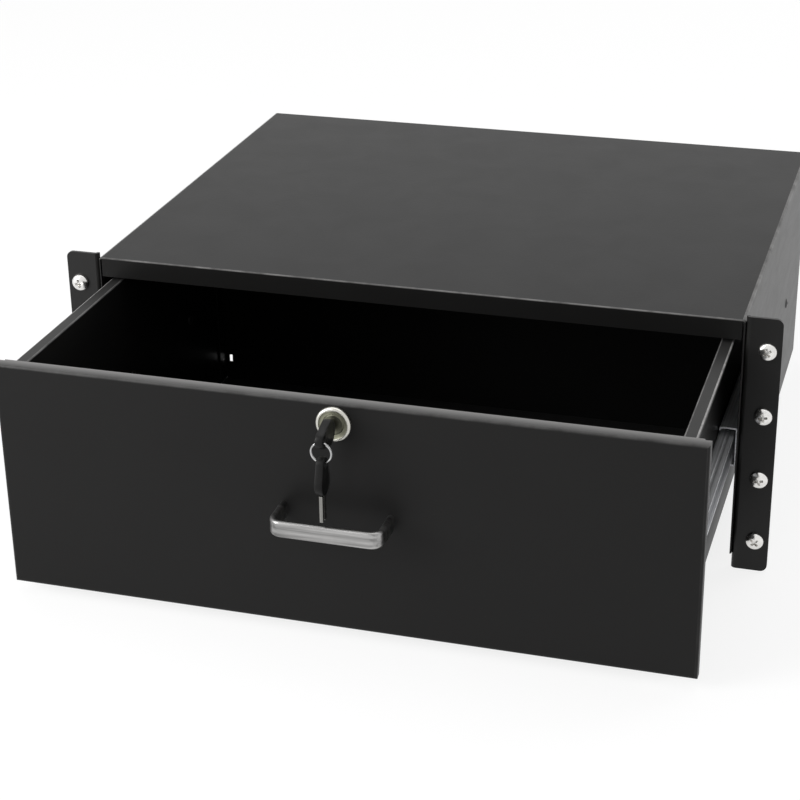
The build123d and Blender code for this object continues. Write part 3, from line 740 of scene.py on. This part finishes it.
def makeFasteners(name, s, scatter):
    seats, aims = [], []
    for low, high in solidBoxes(s["node"]):
        seat = (low + high) / 2
        aim = Vector(direction(s["aim"], seat.x))
        reach = (high - low) / 2
        seat += Vector(a * r for a, r in zip(aim, reach)) - aim * s["high"] * mm
        seats.append(seat)
        aims.append(aim)
    base = bpy.data.meshes.new(name)
    base.from_pydata(seats, [], [])
    aimed = base.attributes.new("aim", "FLOAT_VECTOR", "POINT")
    aimed.data.foreach_set("vector", [value for aim in aims for value in aim])
    single = workItem(s["make"](s), "single")
    look = looks[lookOf[slotOf[s["node"]]]]
    values = {"piece": single, "spin": s.get("spin", 0.0), "seed": s.get("seed", 0), "finish": look}
    mesh = scatter.grow(base, **values)
    bpy.data.objects.remove(single)
    addPiece(name, mesh, s["node"])


scatter = makeScatter()
for name, s in fastenerSet.items():
    makeFasteners(name, s, scatter)
print("fasteners:", len(fastenerSet))


# handle: a round-edged strip that follows a bent path
handleSet = {"thick": 4.0, "bend": 6.5, "steps": 14, "edge": 1.95, "edgeSteps": 8}


def makeHandle(s):
    low, high = corners("handle_pull")
    thick = s["thick"] * mm
    middle = (low.z + high.z) / 2
    points = [(low.x + thick / 2, high.y, middle), (low.x + thick / 2, low.y + thick / 2, middle),
              (high.x - thick / 2, low.y + thick / 2, middle), (high.x - thick / 2, high.y, middle)]
    base = bpy.data.meshes.new("handle")
    base.from_pydata(points, [(0, 1), (1, 2), (2, 3)], [])
    recipe = Recipe("bentStrip", wide="size", thick="size", edge="size", bend="size", finish="finish")
    given = recipe.given
    path = recipe.add("GeometryNodeMeshToCurve", None, {"Mesh": given["shape"]})
    values = {"Curve": path, "Count": s["steps"], "Radius": given["bend"], "Limit Radius": True}
    path = recipe.add("GeometryNodeFilletCurve", {"mode": "POLY"}, values)
    path = recipe.add("GeometryNodeSetCurveNormal", {"mode": "Z_UP"}, {"Curve": path})
    values = {"Width": given["thick"], "Height": given["wide"]}
    section = recipe.add("GeometryNodeCurvePrimitiveQuadrilateral", None, values)
    values = {"Curve": section, "Count": s["edgeSteps"], "Radius": given["edge"], "Limit Radius": True}
    section = recipe.add("GeometryNodeFilletCurve", {"mode": "POLY"}, values)
    values = {"Curve": path, "Profile Curve": section, "Fill Caps": True}
    recipe.end(recipe.add("GeometryNodeCurveToMesh", None, values))
    mesh = recipe.grow(base, wide=high.z - low.z, thick=thick, edge=s["edge"] * mm, bend=s["bend"] * mm,
                       finish=looks["handleNickel"])
    tidyMesh(mesh)
    addPiece("handlePull", mesh, "handle_pull")


makeHandle(handleSet)


# lock: heights are from the panel's face, towards the front
lockSet = {"bore": 6.56, "floor": 2.38, "dishEdge": 8.9, "lip": 3.2, "rim": 11.0, "roll": 1.7,
           "barrel": 9.3, "deep": 14.6, "pitch": 1.0}


def makeLock(s):
    low, high = corners("lock_body")
    panelFace = corners("front_panel")[0].y
    turn = Matrix.Translation(((low.x + high.x) / 2, panelFace, (low.z + high.z) / 2)) @ toFront
    roll, rim = s["roll"], []
    for step in range(11):
        angle = math.radians(9 * step)
        rim.append((s["rim"] - roll + roll * math.sin(angle), s["lip"] - roll + roll * math.cos(angle)))
    rows = [(s["bore"], -s["deep"]), (s["bore"], s["floor"] - 0.1), (s["bore"] + 0.1, s["floor"])]
    rows += [(s["bore"] + 0.5, s["floor"]), (s["dishEdge"] - 0.5, s["lip"] - 0.55)]
    rows += [(s["dishEdge"] - 0.1, s["lip"] - 0.35)]
    rows += [(s["dishEdge"], s["lip"] - 0.12), (s["dishEdge"] + 0.15, s["lip"])] + rim
    rows += [(s["rim"], 0.15), (s["rim"] - 0.15, 0.0), (s["barrel"], 0.0)]
    rows += threadRows(s["barrel"], -1.6, 0.6 - s["deep"], s["pitch"]) + [(s["barrel"] - 0.6, -s["deep"])]
    thread = {"low": -s["deep"] + 0.4, "high": -1.7, "pitch": s["pitch"], "depth": 0.5}
    addPiece("lockBody", lathe("lockBody", rows, 96, closed=True, turn=turn, thread=thread), "lock_body")


makeLock(lockSet)


# keys: the head is an egg-shaped plate, wide at its shoulder and narrow at its ring end
keySet = {"thick": 5.0, "long": 24.0, "half": 8.0, "tip": 4.75, "hole": 2.75, "around": 96,
          "rim": [(0.0, -1.7), (0.0, 1.7), (0.12, 2.1), (0.4, 2.38), (0.8, 2.5), (1.35, 2.5), (1.5, 2.25)],
          "groove": (0.45, 1.5), "grooveShift": 0.6, "soft": 0.12}


def keyHead(s, turn):
    # half of the plate's rim is a list of (inset, height); the other half mirrors it
    around = s["around"]

    def outline(inset, height):
        points = []
        for index in range(around):
            angle = 2 * math.pi * index / around
            lift, reach = math.sin(angle), math.cos(angle)
            wide = s["half"] + s["half"] * lift
            tip = s["long"] - s["tip"]
            useTip = s["tip"] + tip * lift > wide
            centre, radius = (tip, s["tip"]) if useTip else (s["half"], s["half"])
            points.append((height, (radius - inset) * reach, centre + (radius - inset) * lift))
        return points

    def hole(radius, height):
        centre = s["long"] - s["tip"]
        angles = (2 * math.pi * index / around for index in range(around))
        return [(height, radius * math.cos(angle), centre + radius * math.sin(angle)) for angle in angles]

    upper = [outline(inset, height) for inset, height in s["rim"][1:]]
    upper += [hole(s["hole"] + 0.25, 2.25), hole(s["hole"], 2.0)]
    lower = [[(-x, y, z) for x, y, z in loop] for loop in upper]
    return fromFaces("keyHead", *joined(upper + lower[::-1]), turn)


def boxMesh(low, high):
    x0, y0, z0, x1, y1, z1 = *low, *high
    points = [(x, y, z) for x in (x0, x1) for y in (y0, y1) for z in (z0, z1)]
    faces = [(0, 1, 3, 2), (4, 6, 7, 5), (0, 4, 5, 1), (2, 3, 7, 6), (0, 2, 6, 4), (1, 5, 7, 3)]
    mesh = bpy.data.meshes.new("cutter")
    mesh.from_pydata(points, [], faces)
    return mesh


def keyBlade(s, node, along):
    # the notched blade with a milled groove in each side and softened edges
    low, high = corners(node)
    mesh = merged(node)
    deep, wide = (value * mm for value in s["groove"])
    for side in (-1, 1):
        face = high.x if side > 0 else low.x
        one, two = Vector(low), Vector(high)
        one.x, two.x = sorted((face - side * deep, face + side * mm))
        cross = 2 if along == 1 else 1
        centre = (low[cross] + high[cross]) / 2 - side * s["grooveShift"] * mm
        one[cross], two[cross] = centre - wide / 2, centre + wide / 2
        one[along] -= mm
        two[along] += mm
        mesh = cutOut(mesh, boxMesh(one, two))
    mesh.shade_smooth()
    return bevelled(mesh, s["soft"], angle=30)


def makeKeys(s):
    low, high = corners("key_head")
    turn = Matrix.Translation((0, high.y, (low.z + high.z) / 2)) @ toFront
    addPiece("keyHead", keyHead(s, turn), "key_head")
    low, high = corners("spare_key_head")
    turn = Matrix.Translation((0, (low.y + high.y) / 2, low.z))
    addPiece("spareKeyHead", keyHead(s, turn), "spare_key_head")
    for name, node, along in (("keyBlade", "key_blade", 1), ("spareKeyBlade", "spare_key_blade", 2)):
        addPiece(name, keyBlade(s, node, along), node)


makeKeys(keySet)


# split ring: flat wire wound in two turns side by side
ringSet = {"radius": 6.3, "high": 0.5, "wide": 0.3, "pitch": 0.74, "turns": 1.96, "steps": 84,
           "start": 0.6, "round": 0.36, "roundSteps": 4}


def makeRing(s):
    low, high = corners("key_ring")
    recipe = Recipe("splitRing", radius="size", high="size", wide="size", rise="size", turns="size",
                    centre="vector", finish="finish")
    given = recipe.given
    values = {"Resolution": s["steps"], "Rotations": given["turns"], "Start Radius": given["radius"],
              "End Radius": given["radius"], "Height": given["rise"]}
    coil = recipe.add("GeometryNodeCurveSpiral", None, values)
    coil = recipe.add("GeometryNodeSetCurveNormal", {"mode": "Z_UP"}, {"Curve": coil})
    values = {"Width": given["high"], "Height": given["wide"]}
    wire = recipe.add("GeometryNodeCurvePrimitiveQuadrilateral", None, values)
    values = {"Curve": wire, "Count": s["roundSteps"], "Radius": given["wide"] * s["round"],
              "Limit Radius": True}
    wire = recipe.add("GeometryNodeFilletCurve", {"mode": "POLY"}, values)
    values = {"Curve": coil, "Profile Curve": wire, "Fill Caps": True}
    wound = recipe.add("GeometryNodeCurveToMesh", None, values)
    shift = recipe.add("ShaderNodeCombineXYZ", None, {"Z": given["rise"] * -0.5})
    wound = recipe.add("GeometryNodeTransform", None, {"Geometry": wound, "Translation": shift})
    values = {"Geometry": wound, "Rotation": (math.pi / 2, s["start"], 0), "Translation": given["centre"]}
    recipe.end(recipe.add("GeometryNodeTransform", None, values))
    mesh = recipe.grow(bpy.data.meshes.new("ring"), radius=s["radius"] * mm, high=2 * s["high"] * mm,
                       wide=2 * s["wide"] * mm, rise=s["pitch"] * s["turns"] * mm, turns=s["turns"],
                       centre=(low + high) / 2, finish=looks["ringSteel"])
    tidyMesh(mesh)
    addPiece("keyRing", mesh, "key_ring")


makeRing(ringSet)
print("handle, lock, keys and ring made")

# floor and light
stageSet = {"size": 14.0, "white": (0.92, 0.92, 0.92, 1.0), "roughness": 0.9, "glow": 0.8,
            "strength": 1.03}


def makeFloor(s):
    half, low = s["size"] / 2, cadBox[0][2]
    points = [(-half, -half, low), (half, -half, low), (half, half, low), (-half, half, low)]
    mesh = bpy.data.meshes.new("floor")
    mesh.from_pydata(points, [], [(0, 1, 2, 3)])
    floor = bpy.data.objects.new("floor", mesh)
    bpy.context.scene.collection.objects.link(floor)
    finish = Finish("floorWhite", Roughness=s["roughness"], Base_Color=s["white"])
    ray = finish.add("ShaderNodeLightPath", out="Is Camera Ray")
    glossy = finish.add("ShaderNodeLightPath", out="Is Glossy Ray")
    glow = finish.add("ShaderNodeEmission", None, {"Color": (1, 1, 1, 1), "Strength": s["strength"]})
    mixed = finish.tree.nodes.new("ShaderNodeMixShader")
    share = ((ray + glossy) > 0.5) * s["glow"]
    finish.tree.links.new(share.socket, mixed.inputs[0])
    finish.tree.links.new(finish.shader.outputs[0], mixed.inputs[1])
    finish.tree.links.new(glow.socket, mixed.inputs[2])
    finish.tree.links.new(mixed.outputs[0], finish.output.inputs[0])
    mesh.materials.append(finish.material)


lampSet = {
    "windowLeft": {"place": (-1.5, -1.3, 1.5), "size": (1.2, 1.2), "power": 22},
    "stripLeft": {"place": (-1.0, -0.8, 0.35), "size": (0.5, 0.5), "power": 9},
    "boxRight": {"place": (2.2, 2.2, 0.9), "size": (1.4, 1.2), "power": 22},
    "overhead": {"place": (0.0, 0.5, 2.4), "size": (2.2, 1.6), "power": 14},
}
lampTarget = Vector((0, 0.1, 0))  # what the lamps point at


def makeLamps(lamps):
    for name, s in lamps.items():
        data = bpy.data.lights.new(name, "AREA")
        data.shape, data.size, data.size_y, data.energy = "RECTANGLE", *s["size"], s["power"]
        lamp = bpy.data.objects.new(name, data)
        lamp.location = s["place"]
        lamp.visible_camera = False
        lamp.rotation_euler = (lampTarget - Vector(s["place"])).to_track_quat("-Z", "Y").to_euler()
        bpy.context.scene.collection.objects.link(lamp)


worldSet = {"soft": 0.55, "seen": 1.0}


def makeWorld(s):
    # soft light on the object, white where the camera or a reflection meets the backdrop
    world = bpy.data.worlds.new("studio")
    bpy.context.scene.world = world
    world.use_nodes = True
    maker = NodeMaker()
    maker.tree = world.node_tree
    maker.tree.nodes.clear()
    output = maker.tree.nodes.new("ShaderNodeOutputWorld")
    direct = maker.add("ShaderNodeLightPath", out="Is Camera Ray")
    glossy = maker.add("ShaderNodeLightPath", out="Is Glossy Ray")
    soft = maker.add("ShaderNodeBackground", None, {"Strength": s["soft"], "Color": (1, 1, 1, 1)})
    plain = maker.add("ShaderNodeBackground", None, {"Strength": s["seen"], "Color": (1, 1, 1, 1)})
    share = (direct + glossy) > 0.5
    mixed = maker.add("ShaderNodeMixShader", None, {0: share, 1: soft, 2: plain})
    maker.tree.links.new(mixed.socket, output.inputs[0])


makeFloor(stageSet)
makeLamps(lampSet)
makeWorld(worldSet)
bpy.context.scene.view_settings.view_transform = "Standard"
print("stage ready")
